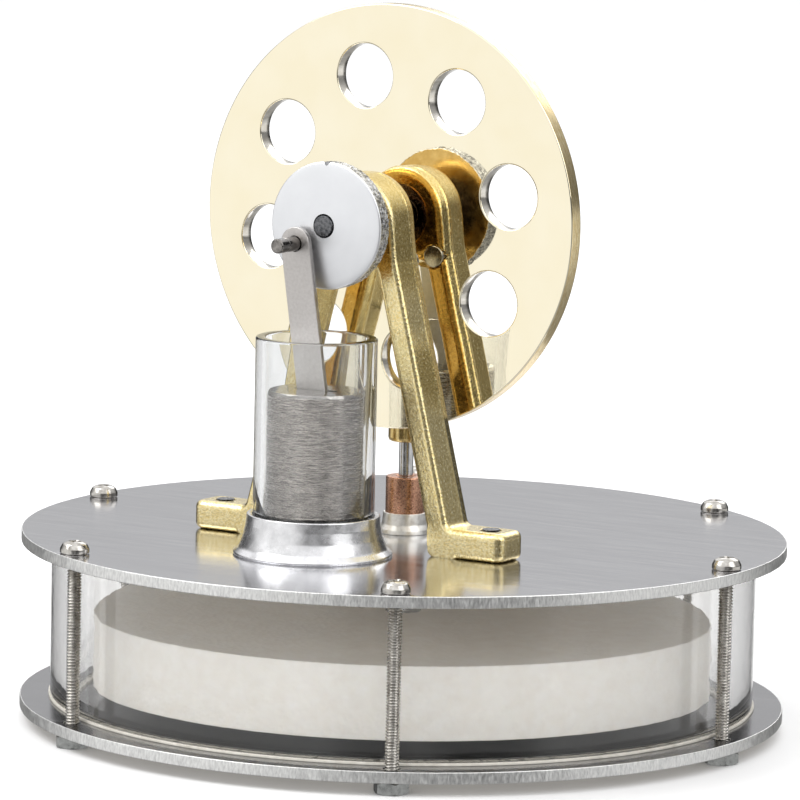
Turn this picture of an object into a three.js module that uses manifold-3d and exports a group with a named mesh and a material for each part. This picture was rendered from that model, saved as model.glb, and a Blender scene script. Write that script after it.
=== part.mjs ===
// Low-temperature Stirling engine model: a flat round chamber with a foam displacer,
// a glass power cylinder, and a cast A-shaped bracket that carries the shaft,
// the crank disc and the pierced flywheel. Millimetres, +Z up, shaft along Y.
import * as THREE from "three";
import { mergeVertices } from "three/addons/utils/BufferGeometryUtils.js";
import Module from "manifold-3d";

const wasm = await Module();
wasm.setup();

// Chamber
const PLATE_R = 50;
const PLATE_T = 1.5;
const NUT_H = 1.6;
const NUT_FLATS = 4;
const GASKET_T = 0.35;
const GASKET_IN = 42.6;
const GASKET_OUT = 46.3;
const RING_H = 19.6;
const RING_OUT = 46;
const RING_IN = 43;
const SCREW_CIRCLE = 47.6;
const SCREW_COUNT = 6;
const SCREW_R = 0.95;
const SCREW_HOLE_R = 1.15;
const HEAD_R = 1.9;
const HEAD_H = 1.6;
const BASE_Z = NUT_H;
const LOWER_GASKET_Z = BASE_Z + PLATE_T;
const RING_Z = LOWER_GASKET_Z + GASKET_T;
const UPPER_GASKET_Z = RING_Z + RING_H;
const LID_Z = UPPER_GASKET_Z + GASKET_T;
const DECK_Z = LID_Z + PLATE_T;

// Shaft line
const SHAFT_Z = DECK_Z + 41.8;
const SHAFT_R = 1.5;
const SHAFT_FRONT_Y = -21.6;
const SHAFT_BACK_Y = -3.4;

// Bracket
const BRACKET_FRONT_Y = -15.1;
const BRACKET_BACK_Y = -9;
const BRACKET_Y = (BRACKET_FRONT_Y + BRACKET_BACK_Y) / 2;
const BRACKET_D = BRACKET_BACK_Y - BRACKET_FRONT_Y;
const BOSS_R = 6.2;
const LEG_SLOPE = 0.2533;
const LEG_INNER_X = 13.1;
const LEG_WIDTH_X = 3.15;
const FOOT_H = 3.75;
const FOOT_END_X = 23.4;
const FOOT_CORNER_R = 1.3;
const FOOT_SCREW_X = 20.1;
const FOOT_SCREW_R = 1.25;
const FOOT_INNER_X = 12.5;
const BEARING_R = 4;
const BEARING_W = 2.5;
const BEARING_RECESS = 0.9;
const DOWEL_R = 1.4;
const DOWEL_X = 5.3;
const DOWEL_DROP = 5;

// Flywheel and crank disc
const WHEEL_R = 27.45;
const WHEEL_T = 2.25;
const WHEEL_FRONT_Y = -6.05;
const WHEEL_HOLES = 8;
const WHEEL_HOLE_R = 4.15;
const WHEEL_HOLE_CIRCLE = 18.4;
const WHEEL_HOLE_PHASE = THREE.MathUtils.degToRad(11.9);
const HUB_R = 2.3;
const DISC_R = 8.15;
const DISC_T = 2.8;
const DISC_FRONT_Y = -21.4;
const SPACER_R = 2.3;

// Power side
const CYLINDER_Y = -22.5;
const CRANK_R = 4.11;
const CRANK_ANGLE = THREE.MathUtils.degToRad(215.2);
const CRANK_PIN_R = 0.95;
const CRANK_PIN_FRONT_Y = -27.1;
const GLASS_OUT = 7.75;
const GLASS_IN = 6.5;
const GLASS_FOOT = 1.8;
const GLASS_TOP = 27.8;
const SEAT_TOP = 5.2;
const PISTON_R = 6.2;
const PISTON_WALL = 0.9;
const PISTON_BOTTOM = 5;
const PISTON_TOP = 21.1;
const PISTON_HOLLOW_TOP = 14;
const PISTON_SLOT_FLOOR = 15.05;
const PISTON_SLOT_X = 6.2;
const PISTON_SLOT_Y = 1.15;
const WRIST_H = 17.5;
const WRIST_R = 0.6;
const ROD_T = 0.75;
const ROD_W = 4.2;

// Displacer side
const FOAM_R = 40.5;
const FOAM_H = 9.5;
const FOAM_LIFT = 2.1;
const STEM_R = 0.95;
const LIFT_R = 4.3;
const LIFT_ANGLE = CRANK_ANGLE + Math.PI / 2;
const STEM_PIN_H = 14.7;
const STEM_HEAD_R = 2.4;
const STEM_HEAD_LOW = 12;
const STEM_HEAD_TOP = 16.4;
const STEM_HEAD_SLOT_H = 12.8;
const STEM_HEAD_SLOT_Y = 1.1;
const LINK_T = 0.8;
const LINK_W = 2.6;
const BUSHING_R = 2.6;
const BUSHING_TOP = 7.45;
const COLLET_H = 2.7;

const METAL = { metalness: 1, roughness: 0.3 };
const MATERIALS = {
  aluminium: { color: 0xb9bcc0, metalness: 1, roughness: 0.32 },
  steel: { color: 0xc4c6c8, ...METAL },
  dark_steel: { color: 0x54575a, metalness: 1, roughness: 0.4 },
  brass_mirror: { color: 0xe6cf94, metalness: 1, roughness: 0.06 },
  brass_cast: { color: 0xc9983a, metalness: 1, roughness: 0.28 },
  bronze: { color: 0xb9835f, metalness: 1, roughness: 0.3 },
  clear_plastic: { color: 0xd8dcdd, metalness: 0, roughness: 0.05 },
  glass: { color: 0xe8eeee, metalness: 0, roughness: 0.02 },
  foam: { color: 0xe9e4d8, metalness: 0, roughness: 0.9 },
  rubber: { color: 0xcfc8b4, metalness: 0, roughness: 0.7 },
};

const group = new THREE.Group();

function add(name, geometry, material) {
  const mesh = new THREE.Mesh(geometry, new THREE.MeshStandardMaterial(MATERIALS[material]));
  mesh.name = name;
  group.add(mesh);
}

// A closed profile of [radius, height] pairs, turned about the vertical through x, y.
function turned(profile, segments, x = 0, y = 0, z = 0) {
  const points = profile.map(([r, h]) => new THREE.Vector2(r, h));
  const geometry = new THREE.LatheGeometry(points, segments);
  geometry.rotateX(Math.PI / 2);
  geometry.translate(x, y, z);
  return geometry;
}

// The same, turned about a line along Y through x, z.
function turnedAlongY(profile, segments, x = 0, z = SHAFT_Z) {
  const points = profile.map(([r, h]) => new THREE.Vector2(r, h));
  const geometry = new THREE.LatheGeometry(points, segments);
  geometry.translate(x, 0, z);
  return geometry;
}

function rod(radius, low, high) {
  return [[0, low], [radius, low], [radius, high], [0, high]];
}

function tube(inner, outer, low, high) {
  return [[inner, low], [outer, low], [outer, high], [inner, high], [inner, low]];
}

function solid(geometry) {
  const bare = new THREE.BufferGeometry();
  bare.setAttribute("position", geometry.getAttribute("position"));
  bare.setIndex(geometry.getIndex());
  const merged = mergeVertices(bare, 1e-4);
  return new wasm.Manifold(
    new wasm.Mesh({
      numProp: 3,
      vertProperties: new Float32Array(merged.getAttribute("position").array),
      triVerts: new Uint32Array(merged.getIndex().array),
    }),
  );
}

function geometryOf(body) {
  const mesh = body.getMesh();
  const count = mesh.vertProperties.length / mesh.numProp;
  const positions = new Float32Array(count * 3);
  for (let i = 0; i < count; i += 1) {
    positions.set(mesh.vertProperties.subarray(i * mesh.numProp, i * mesh.numProp + 3), i * 3);
  }
  const geometry = new THREE.BufferGeometry();
  geometry.setAttribute("position", new THREE.BufferAttribute(positions, 3));
  geometry.setIndex(new THREE.BufferAttribute(new Uint32Array(mesh.triVerts), 1));
  const flat = geometry.toNonIndexed();
  flat.computeVertexNormals();
  return flat;
}

function cut(geometry, tools) {
  const body = tools.reduce((rest, tool) => rest.subtract(solid(tool)), solid(geometry));
  return geometryOf(body);
}

function join(pieces) {
  return pieces.slice(1).reduce((sum, piece) => sum.add(solid(piece)), solid(pieces[0]));
}

// An outline in X and Z, extruded along Y from front to back.
function slab(shape, front, back) {
  const geometry = new THREE.ExtrudeGeometry(shape, {
    depth: back - front,
    bevelEnabled: false,
    curveSegments: 10,
  });
  geometry.rotateX(Math.PI / 2);
  geometry.translate(0, back, 0);
  return geometry;
}

// A straight strip with round ends and an eye at each end, lying in a plane across the shaft.
function strip(low, high, width, eyeLow, eyeHigh, front, back) {
  const half = width / 2;
  const along = Math.atan2(high[1] - low[1], high[0] - low[0]);
  const shape = new THREE.Shape();
  shape.absarc(high[0], high[1], half, along - Math.PI / 2, along + Math.PI / 2, false);
  shape.absarc(low[0], low[1], half, along + Math.PI / 2, along + (3 * Math.PI) / 2, false);
  shape.closePath();
  const eyes = [[low, eyeLow], [high, eyeHigh]];
  eyes.forEach(([centre, radius]) => {
    const eye = new THREE.Path();
    eye.absarc(centre[0], centre[1], radius, 0, 2 * Math.PI, true);
    shape.holes.push(eye);
  });
  return slab(shape, front, back);
}

function aroundPlate(index) {
  const angle = (index * 2 * Math.PI) / SCREW_COUNT;
  return [SCREW_CIRCLE * Math.cos(angle), SCREW_CIRCLE * Math.sin(angle)];
}

// Plates, gaskets and ring
function screwHoles(low, high) {
  const holes = [];
  for (let i = 0; i < SCREW_COUNT; i += 1) {
    const [x, y] = aroundPlate(i);
    holes.push(turned(rod(SCREW_HOLE_R, low - 1, high + 1), 16, x, y));
  }
  return holes;
}

function plateProfile(low, high) {
  const edge = 0.15;
  return [
    [0, low],
    [PLATE_R - edge, low],
    [PLATE_R, low + edge],
    [PLATE_R, high - edge],
    [PLATE_R - edge, high],
    [0, high],
  ];
}

const basePlate = turned(plateProfile(BASE_Z, BASE_Z + PLATE_T), 84);
add("base_plate", cut(basePlate, screwHoles(BASE_Z, BASE_Z + PLATE_T)), "aluminium");

const lidHoles = screwHoles(LID_Z, DECK_Z);
lidHoles.push(turned(rod(1.4, LID_Z - 1, DECK_Z + 1), 24));
lidHoles.push(turned(rod(3, LID_Z - 1, DECK_Z + 1), 32, 0, CYLINDER_Y));
for (const side of [-1, 1]) {
  const bore = FOOT_SCREW_R + 0.1;
  const sink = [[0, LID_Z - 0.2], [bore + 1.2, LID_Z - 0.2], [bore, LID_Z + 1], [bore, DECK_Z + 1], [0, DECK_Z + 1]];
  lidHoles.push(turned(sink, 20, side * FOOT_SCREW_X, BRACKET_Y));
}
add("top_plate", cut(turned(plateProfile(LID_Z, DECK_Z), 84), lidHoles), "aluminium");

add("lower_gasket", turned(tube(GASKET_IN, GASKET_OUT, LOWER_GASKET_Z, RING_Z), 60), "rubber");
add("chamber_ring", turned(tube(RING_IN, RING_OUT, RING_Z, UPPER_GASKET_Z), 72), "clear_plastic");
add("upper_gasket", turned(tube(GASKET_IN, GASKET_OUT, UPPER_GASKET_Z, LID_Z), 60), "rubber");

// Plate screws and nuts
function panHead(base) {
  return [
    [HEAD_R, base],
    [HEAD_R, base + HEAD_H * 0.45],
    [HEAD_R * 0.9, base + HEAD_H * 0.78],
    [HEAD_R * 0.62, base + HEAD_H * 0.96],
    [0, base + HEAD_H],
  ];
}

function crossRecess(x, y, top) {
  const wing = new THREE.BoxGeometry(2, 0.5, 1);
  wing.translate(x, y, top);
  const other = new THREE.BoxGeometry(0.5, 2, 1);
  other.translate(x, y, top);
  return [wing, other];
}

function hexNut(x, y) {
  const bore = SCREW_R + 0.05;
  const corner = NUT_FLATS / Math.sqrt(3);
  const outline = new THREE.Shape();
  for (let i = 0; i < 6; i += 1) {
    const angle = (i * Math.PI) / 3;
    outline[i ? "lineTo" : "moveTo"](corner * Math.cos(angle), corner * Math.sin(angle));
  }
  outline.closePath();
  const eye = new THREE.Path();
  eye.absarc(0, 0, bore, 0, 2 * Math.PI, true);
  outline.holes.push(eye);
  const hex = new THREE.ExtrudeGeometry(outline, { depth: NUT_H, bevelEnabled: false, curveSegments: 6 });
  const rounding = [
    [0, -0.1],
    [corner - 0.35, -0.1],
    [corner + 0.05, 0.25],
    [corner + 0.05, NUT_H - 0.25],
    [corner - 0.35, NUT_H + 0.1],
    [0, NUT_H + 0.1],
  ];
  const body = solid(hex).intersect(solid(turned(rounding, 18)));
  const geometry = geometryOf(body);
  geometry.rotateZ(Math.atan2(y, x));
  geometry.translate(x, y, 0);
  return geometry;
}

for (let i = 0; i < SCREW_COUNT; i += 1) {
  const [x, y] = aroundPlate(i);
  const shank = [[0, 0.1], [SCREW_R - 0.2, 0.1], [SCREW_R, 0.3], [SCREW_R, DECK_Z]];
  const blank = turned([...shank, ...panHead(DECK_Z)], 14, x, y);
  add("plate_screw_" + (i + 1), cut(blank, crossRecess(x, y, DECK_Z + HEAD_H)), "steel");
  add("plate_nut_" + (i + 1), hexNut(x, y), "steel");
}

// Displacer: foam disc on its stem
const foamZ = LOWER_GASKET_Z + FOAM_LIFT;
const stemPinZ = DECK_Z + STEM_PIN_H;
const foamProfile = [
  [STEM_R + 0.05, foamZ],
  [FOAM_R - 0.3, foamZ],
  [FOAM_R, foamZ + 0.3],
  [FOAM_R, foamZ + FOAM_H - 0.3],
  [FOAM_R - 0.3, foamZ + FOAM_H],
  [STEM_R + 0.05, foamZ + FOAM_H],
  [STEM_R + 0.05, foamZ],
];
add("displacer_foam", turned(foamProfile, 60), "foam");

const stemTop = DECK_Z + STEM_HEAD_SLOT_H - 0.05;
add("displacer_stem", turned(rod(STEM_R, foamZ + 0.3, stemTop), 28), "steel");
const collarZ = foamZ + FOAM_H;
add("stem_collar", turned(tube(STEM_R + 0.03, 2.4, collarZ, collarZ + 0.7), 28), "steel");

// Stem bushing in its cone seat
const coneSeat = [
  [BUSHING_R + 0.02, DECK_Z],
  [3.5, DECK_Z],
  [3.4, DECK_Z + 0.5],
  [3, DECK_Z + 1.2],
  [2.9, DECK_Z + COLLET_H],
  [BUSHING_R + 0.02, DECK_Z + COLLET_H],
  [BUSHING_R + 0.02, DECK_Z],
];
add("bushing_seat", turned(coneSeat, 28), "aluminium");
const bushing = [
  [STEM_R + 0.15, DECK_Z + 0.05],
  [BUSHING_R, DECK_Z + 0.05],
  [BUSHING_R, DECK_Z + BUSHING_TOP - 0.25],
  [BUSHING_R - 0.25, DECK_Z + BUSHING_TOP],
  [STEM_R + 0.4, DECK_Z + BUSHING_TOP],
  [STEM_R + 0.15, DECK_Z + BUSHING_TOP - 0.25],
  [STEM_R + 0.15, DECK_Z + 0.05],
];
add("stem_bushing", turned(bushing, 28), "bronze");

// Forked head on the stem
const headLow = DECK_Z + STEM_HEAD_LOW;
const headTop = DECK_Z + STEM_HEAD_TOP;
const headProfile = [
  [0, headLow],
  [STEM_HEAD_R - 0.5, headLow],
  [STEM_HEAD_R - 0.13, headLow + 0.16],
  [STEM_HEAD_R, headLow + 0.5],
  [STEM_HEAD_R, headTop - 0.2],
  [STEM_HEAD_R - 0.2, headTop],
  [0, headTop],
];
const fork = new THREE.BoxGeometry(8, STEM_HEAD_SLOT_Y, 10);
fork.translate(0, 0, DECK_Z + STEM_HEAD_SLOT_H + 5);
const stemSocket = turned(rod(STEM_R + 0.02, headLow - 1, DECK_Z + STEM_HEAD_SLOT_H + 0.5), 28);
const pinBore = turnedAlongY(rod(0.54, -4, 4), 20, 0, stemPinZ);
add("stem_head", cut(turned(headProfile, 32), [fork, stemSocket, pinBore]), "brass_cast");

// Link from the stem up to the lift pin behind the flywheel
const liftX = LIFT_R * Math.cos(LIFT_ANGLE);
const liftZ = SHAFT_Z + LIFT_R * Math.sin(LIFT_ANGLE);
const linkBack = LINK_T / 2;
const link = strip([0, stemPinZ], [liftX, liftZ], LINK_W, 0.6, 0.85, -linkBack, linkBack);
add("displacer_link", link, "brass_cast");
add("stem_pin", turnedAlongY(rod(0.5, -2.2, 2.2), 20, 0, stemPinZ), "steel");
const wheelBackY = WHEEL_FRONT_Y + WHEEL_T;
const liftPin = [
  [0, wheelBackY + 0.3],
  [0.8, wheelBackY + 0.3],
  [0.8, linkBack + 0.1],
  [1.3, linkBack + 0.1],
  [1.3, linkBack + 0.6],
  [0, linkBack + 0.6],
];
add("lift_pin", turnedAlongY(liftPin, 24, liftX, liftZ), "steel");

// Bracket: one casting with a bearing boss, two legs and two feet
function legOutline(side) {
  const top = SHAFT_Z - 1;
  const lean = LEG_SLOPE * (top - DECK_Z);
  const shape = new THREE.Shape();
  shape.moveTo(side * LEG_INNER_X, DECK_Z);
  shape.lineTo(side * (LEG_INNER_X + LEG_WIDTH_X), DECK_Z);
  shape.lineTo(side * (LEG_INNER_X + LEG_WIDTH_X - lean), top);
  shape.lineTo(side * (LEG_INNER_X - lean), top);
  shape.closePath();
  return shape;
}

function foot(side) {
  const half = BRACKET_D / 2;
  const outline = new THREE.Shape();
  const cornerX = FOOT_END_X - FOOT_CORNER_R;
  const cornerY = half - FOOT_CORNER_R;
  outline.moveTo(FOOT_INNER_X, -half);
  outline.lineTo(cornerX, -half);
  outline.absarc(cornerX, -cornerY, FOOT_CORNER_R, -Math.PI / 2, 0, false);
  outline.absarc(cornerX, cornerY, FOOT_CORNER_R, 0, Math.PI / 2, false);
  outline.lineTo(FOOT_INNER_X, half);
  outline.closePath();
  const geometry = new THREE.ExtrudeGeometry(outline, {
    depth: FOOT_H,
    bevelEnabled: false,
    curveSegments: 8,
  });
  if (side < 0) {
    geometry.rotateZ(Math.PI);
  }
  geometry.translate(0, BRACKET_Y, DECK_Z);
  return geometry;
}

const casting = [turnedAlongY(rod(BOSS_R, BRACKET_FRONT_Y, BRACKET_BACK_Y), 48)];
for (const side of [-1, 1]) {
  casting.push(slab(legOutline(side), BRACKET_FRONT_Y, BRACKET_BACK_Y));
  casting.push(foot(side));
}
const bores = [turnedAlongY(rod(BEARING_R + 0.05, -20, -5), 40)];
for (const side of [-1, 1]) {
  bores.push(turnedAlongY(rod(DOWEL_R + 0.03, BRACKET_Y, -5), 24, side * DOWEL_X, SHAFT_Z - DOWEL_DROP));
  const footBore = rod(FOOT_SCREW_R + 0.05, DECK_Z - 1, DECK_Z + FOOT_H + 1);
  bores.push(turned(footBore, 20, side * FOOT_SCREW_X, BRACKET_Y));
}
const bracket = bores.reduce((rest, bore) => rest.subtract(solid(bore)), join(casting));
add("bracket", geometryOf(bracket), "brass_cast");

for (const [side, name] of [[-1, "left"], [1, "right"]]) {
  const dowel = rod(DOWEL_R, BRACKET_Y + 0.05, BRACKET_BACK_Y + 0.1);
  add("bracket_dowel_" + name, turnedAlongY(dowel, 24, side * DOWEL_X, SHAFT_Z - DOWEL_DROP), "steel");
  const countersunk = [
    [0, LID_Z + 0.05],
    [FOOT_SCREW_R + 0.9, LID_Z + 0.05],
    [FOOT_SCREW_R, LID_Z + 0.98],
    [FOOT_SCREW_R, DECK_Z + FOOT_H],
    [FOOT_SCREW_R - 0.25, DECK_Z + FOOT_H + 0.15],
    [0, DECK_Z + FOOT_H + 0.15],
  ];
  add("foot_screw_" + name, turned(countersunk, 20, side * FOOT_SCREW_X, BRACKET_Y), "dark_steel");
}

function bearing(low) {
  const high = low + BEARING_W;
  return [
    [SHAFT_R + 0.08, low],
    [2.2, low],
    [2.3, low + 0.2],
    [3.3, low + 0.2],
    [3.4, low],
    [BEARING_R, low],
    [BEARING_R, high],
    [3.4, high],
    [3.3, high - 0.2],
    [2.3, high - 0.2],
    [2.2, high],
    [SHAFT_R + 0.08, high],
    [SHAFT_R + 0.08, low],
  ];
}

add("bearing_front", turnedAlongY(bearing(BRACKET_FRONT_Y), 28), "steel");
add("bearing_back", turnedAlongY(bearing(BRACKET_BACK_Y - BEARING_RECESS - BEARING_W), 28), "steel");

// Shaft with crank disc, spacer, flywheel hub and flywheel
add("shaft", turnedAlongY(rod(SHAFT_R, SHAFT_FRONT_Y, SHAFT_BACK_Y), 36), "dark_steel");

const discBack = DISC_FRONT_Y + DISC_T;
const discProfile = [
  [SHAFT_R + 0.04, DISC_FRONT_Y],
  [DISC_R - 0.25, DISC_FRONT_Y],
  [DISC_R, DISC_FRONT_Y + 0.25],
  [DISC_R, discBack - 0.25],
  [DISC_R - 0.25, discBack],
  [SHAFT_R + 0.04, discBack],
  [SHAFT_R + 0.04, DISC_FRONT_Y],
];
const discMid = DISC_FRONT_Y + DISC_T / 2;
const grubHole = turned(rod(1, SHAFT_Z + 1, SHAFT_Z + DISC_R + 1), 20, 0, discMid);
add("crank_disc", cut(turnedAlongY(discProfile, 48), [grubHole]), "aluminium");
const grub = rod(0.95, SHAFT_Z + SHAFT_R + 0.05, SHAFT_Z + DISC_R - 0.5);
add("grub_screw", turned(grub, 20, 0, discMid), "dark_steel");

const spacer = tube(SHAFT_R + 0.04, SPACER_R, discBack, BRACKET_FRONT_Y - 0.3);
add("shaft_spacer", turnedAlongY(spacer, 36), "steel");

const hub = tube(SHAFT_R + 0.04, HUB_R, BRACKET_BACK_Y + 0.4, WHEEL_FRONT_Y);
add("flywheel_hub", turnedAlongY(hub, 40), "brass_cast");
const wheelProfile = [
  [SHAFT_R + 0.04, WHEEL_FRONT_Y],
  [WHEEL_R - 0.3, WHEEL_FRONT_Y],
  [WHEEL_R, WHEEL_FRONT_Y + 0.3],
  [WHEEL_R, wheelBackY - 0.3],
  [WHEEL_R - 0.3, wheelBackY],
  [SHAFT_R + 0.04, wheelBackY],
  [SHAFT_R + 0.04, WHEEL_FRONT_Y],
];
const wheelHoles = [];
for (let i = 0; i < WHEEL_HOLES; i += 1) {
  const angle = WHEEL_HOLE_PHASE + (i * 2 * Math.PI) / WHEEL_HOLES;
  const x = WHEEL_HOLE_CIRCLE * Math.cos(angle);
  const z = SHAFT_Z + WHEEL_HOLE_CIRCLE * Math.sin(angle);
  wheelHoles.push(turnedAlongY(rod(WHEEL_HOLE_R, WHEEL_FRONT_Y - 1, wheelBackY + 1), 24, x, z));
}
add("flywheel", cut(turnedAlongY(wheelProfile, 90), wheelHoles), "brass_mirror");

// Power cylinder on its flared seat
const seatProfile = [
  [5.6, DECK_Z],
  [10.2, DECK_Z],
  [10.25, DECK_Z + 0.35],
  [9.5, DECK_Z + 1.1],
  [8.95, DECK_Z + 2.4],
  [8.65, DECK_Z + 3.9],
  [8.55, DECK_Z + SEAT_TOP],
  [GLASS_OUT + 0.03, DECK_Z + SEAT_TOP],
  [GLASS_OUT + 0.03, DECK_Z + GLASS_FOOT],
  [5.6, DECK_Z + GLASS_FOOT],
  [5.6, DECK_Z],
];
add("cylinder_seat", turned(seatProfile, 44, 0, CYLINDER_Y), "aluminium");
const glassProfile = [
  [GLASS_IN, DECK_Z + GLASS_FOOT],
  [GLASS_OUT, DECK_Z + GLASS_FOOT],
  [GLASS_OUT, DECK_Z + GLASS_TOP - 0.3],
  [GLASS_OUT - 0.3, DECK_Z + GLASS_TOP],
  [GLASS_IN + 0.3, DECK_Z + GLASS_TOP],
  [GLASS_IN, DECK_Z + GLASS_TOP - 0.3],
  [GLASS_IN, DECK_Z + GLASS_FOOT],
];
add("glass_cylinder", turned(glassProfile, 44, 0, CYLINDER_Y), "glass");

// Trunk piston, solid at the top, where a slot takes the rod, and the wrist pin
const pistonLow = DECK_Z + PISTON_BOTTOM;
const pistonHigh = DECK_Z + PISTON_TOP;
const hollowTop = DECK_Z + PISTON_HOLLOW_TOP;
const wristZ = DECK_Z + WRIST_H;
const pistonProfile = [
  [0, hollowTop],
  [PISTON_R - PISTON_WALL, hollowTop],
  [PISTON_R - PISTON_WALL, pistonLow],
  [PISTON_R - 0.2, pistonLow],
  [PISTON_R, pistonLow + 0.2],
  [PISTON_R, pistonHigh - 0.35],
  [PISTON_R - 0.35, pistonHigh],
  [0, pistonHigh],
];
const rodSlot = new THREE.BoxGeometry(PISTON_SLOT_X, PISTON_SLOT_Y, 20);
rodSlot.translate(0, CYLINDER_Y, DECK_Z + PISTON_SLOT_FLOOR + 10);
const wristFront = CYLINDER_Y - 2.7;
const wristBack = CYLINDER_Y + 5.4;
const wristBore = turnedAlongY(rod(WRIST_R + 0.04, wristFront - 0.1, wristBack + 3), 20, 0, wristZ);
add("piston", cut(turned(pistonProfile, 40, 0, CYLINDER_Y), [rodSlot, wristBore]), "steel");
add("wrist_pin", turnedAlongY(rod(WRIST_R, wristFront, wristBack), 20, 0, wristZ), "steel");

// Connecting rod: a thin strip from the wrist pin up to the crank pin
const pinX = CRANK_R * Math.cos(CRANK_ANGLE);
const pinZ = SHAFT_Z + CRANK_R * Math.sin(CRANK_ANGLE);
const rodFront = CYLINDER_Y - ROD_T / 2;
const rodBack = CYLINDER_Y + ROD_T / 2;
const conRod = strip([0, wristZ], [pinX, pinZ], ROD_W, WRIST_R + 0.15, CRANK_PIN_R + 0.05, rodFront, rodBack);
add("connecting_rod", conRod, "steel");
const crankPin = [
  [0, CRANK_PIN_FRONT_Y],
  [CRANK_PIN_R - 0.15, CRANK_PIN_FRONT_Y],
  [CRANK_PIN_R, CRANK_PIN_FRONT_Y + 0.15],
  [CRANK_PIN_R, DISC_FRONT_Y - 0.3],
  [0, DISC_FRONT_Y - 0.3],
];
add("crank_pin", turnedAlongY(crankPin, 24, pinX, pinZ), "steel");

export default group;
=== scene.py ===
"""Looks for the Stirling engine model: fine meshes, procedural finishes, floor, light and camera."""

import math
import random

import bmesh
import bpy
import numpy as np
from mathutils import Matrix, Vector, noise


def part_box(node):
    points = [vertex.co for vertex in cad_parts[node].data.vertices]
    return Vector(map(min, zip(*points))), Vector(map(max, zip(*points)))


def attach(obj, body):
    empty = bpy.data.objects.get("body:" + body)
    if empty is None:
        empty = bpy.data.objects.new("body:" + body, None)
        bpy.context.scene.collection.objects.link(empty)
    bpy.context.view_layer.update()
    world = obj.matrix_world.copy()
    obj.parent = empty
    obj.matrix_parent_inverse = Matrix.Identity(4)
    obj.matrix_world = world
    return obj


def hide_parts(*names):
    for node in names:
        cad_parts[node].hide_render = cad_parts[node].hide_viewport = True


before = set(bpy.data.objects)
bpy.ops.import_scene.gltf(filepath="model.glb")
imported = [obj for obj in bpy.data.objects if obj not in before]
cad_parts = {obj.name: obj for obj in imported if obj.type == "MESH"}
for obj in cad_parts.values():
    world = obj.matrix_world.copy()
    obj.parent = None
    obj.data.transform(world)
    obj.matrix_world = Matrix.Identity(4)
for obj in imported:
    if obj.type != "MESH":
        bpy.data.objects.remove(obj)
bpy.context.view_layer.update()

MM = 0.001
SMOOTH_BELOW = 35.0
SEED = 11
chance = random.Random(SEED)


# ---- places from the frame
def span(node):
    """Lowest corner, highest corner and centre of a CAD node, in millimetres."""
    low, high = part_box(node)
    low, high = low / MM, high / MM
    return low, high, (low + high) / 2


deck = span("top_plate")[1].z
shaft_low, shaft_high, shaft_mid = span("shaft")
shaft_z = shaft_mid.z
cylinder_y = span("glass_cylinder")[2].y


# ---- materials
def node_material(name):
    mat = bpy.data.materials.new(name)
    mat.use_nodes = True
    tree = mat.node_tree
    shader = tree.nodes["Principled BSDF"]
    return mat, tree, shader


def link(tree, a, b):
    tree.links.new(a, b)


NOISE_LOW, NOISE_HIGH = 0.3, 0.7
EVEN = (1, 1, 1)


def coordinates(tree, scale=EVEN):
    """Object coordinates in millimetres, stretched by scale."""
    coords = tree.nodes.new("ShaderNodeTexCoord")
    mapping = tree.nodes.new("ShaderNodeMapping")
    mapping.inputs["Scale"].default_value = [s / MM for s in scale]
    link(tree, coords.outputs["Object"], mapping.inputs["Vector"])
    return mapping.outputs["Vector"]


def noise_value(tree, vector, scale, detail=3.0, rough=0.55):
    tex = tree.nodes.new("ShaderNodeTexNoise")
    tex.inputs["Scale"].default_value = scale
    tex.inputs["Detail"].default_value = detail
    tex.inputs["Roughness"].default_value = rough
    link(tree, vector, tex.inputs["Vector"])
    return tex.outputs["Fac"]


def remap(tree, value, low, high):
    """A noise value stretched to run from low to high."""
    node = tree.nodes.new("ShaderNodeMapRange")
    node.inputs["From Min"].default_value = NOISE_LOW
    node.inputs["From Max"].default_value = NOISE_HIGH
    node.inputs["To Min"].default_value = low
    node.inputs["To Max"].default_value = high
    link(tree, value, node.inputs["Value"])
    return node.outputs["Result"]


def two_tone(tree, value, dark, light):
    """A noise value turned into colours from dark to light."""
    ramp = tree.nodes.new("ShaderNodeValToRGB")
    ramp.color_ramp.elements[0].position = NOISE_LOW
    ramp.color_ramp.elements[1].position = NOISE_HIGH
    ramp.color_ramp.elements[0].color = (*dark, 1)
    ramp.color_ramp.elements[1].color = (*light, 1)
    link(tree, value, ramp.inputs["Fac"])
    return ramp.outputs["Color"]


def bump(tree, shader, height, distance_mm, strength=1.0):
    node = tree.nodes.new("ShaderNodeBump")
    node.inputs["Strength"].default_value = strength
    node.inputs["Distance"].default_value = distance_mm * MM
    link(tree, height, node.inputs["Height"])
    link(tree, node.outputs["Normal"], shader.inputs["Normal"])


def metal(name, dark, light, rough, grain=EVEN, grain_scale=1.0, bump_mm=0.004, detail=4.0):
    """A metal whose colour, roughness and relief all vary with the same stretched grain."""
    mat, tree, shader = node_material(name)
    vector = coordinates(tree, grain)
    value = noise_value(tree, vector, grain_scale, detail)
    link(tree, two_tone(tree, value, dark, light), shader.inputs["Base Color"])
    link(tree, remap(tree, value, rough[0], rough[1]), shader.inputs["Roughness"])
    shader.inputs["Metallic"].default_value = 1.0
    bump(tree, shader, value, bump_mm)
    return mat


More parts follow.
